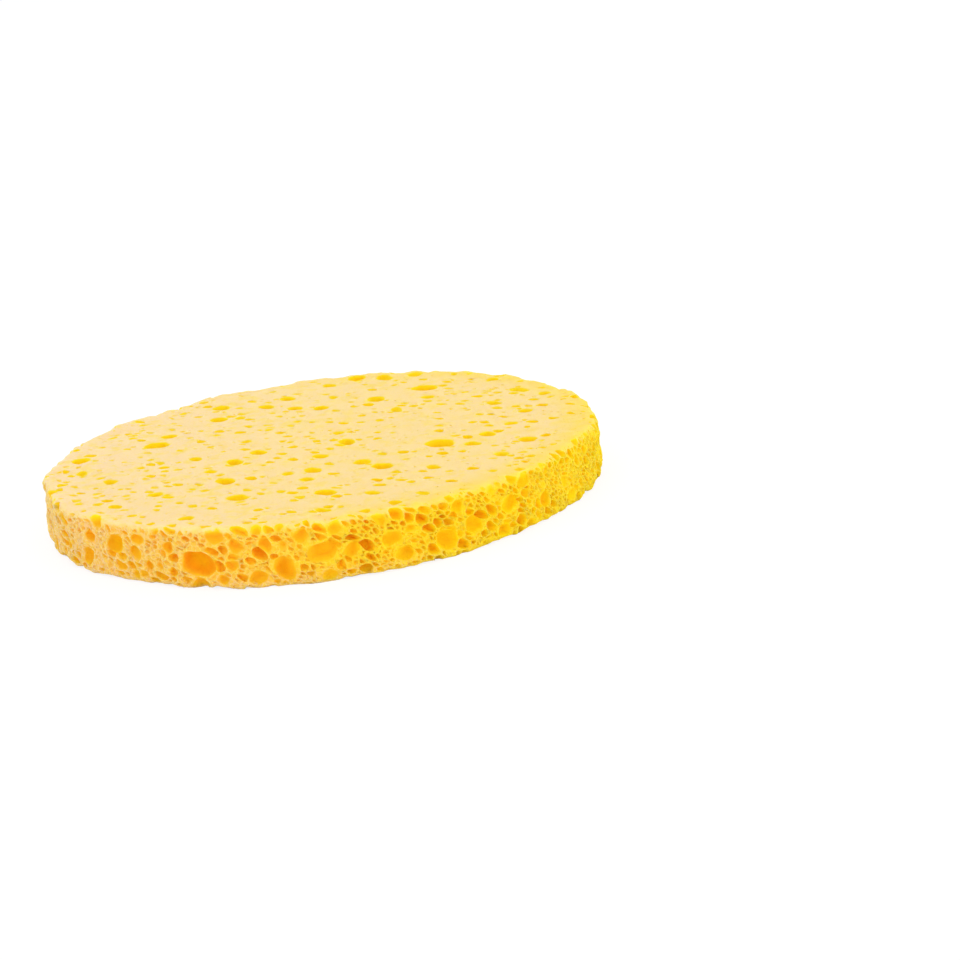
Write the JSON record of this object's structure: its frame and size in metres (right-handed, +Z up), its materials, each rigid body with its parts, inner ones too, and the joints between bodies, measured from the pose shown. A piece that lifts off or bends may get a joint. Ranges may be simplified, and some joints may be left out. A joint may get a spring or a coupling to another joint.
{
  "type": "cellulose makeup remover pad",
  "caption": "Round yellow cellulose sponge disc for wiping off makeup, swollen and dry, with open cells on its flat faces and wall.",
  "frame": {"origin": "middle of the underside, on the surface that the pad lies on", "axes": "+Z up through the thickness, +X to the right, front of the pad towards -Y"},
  "size_m": [0.0765, 0.0765, 0.008],
  "materials": {
    "cellulose_sponge": "matte"
  },
  "bodies": {
    "root": {"sponge_pad": "cellulose_sponge"}
  },
  "joints": []
}
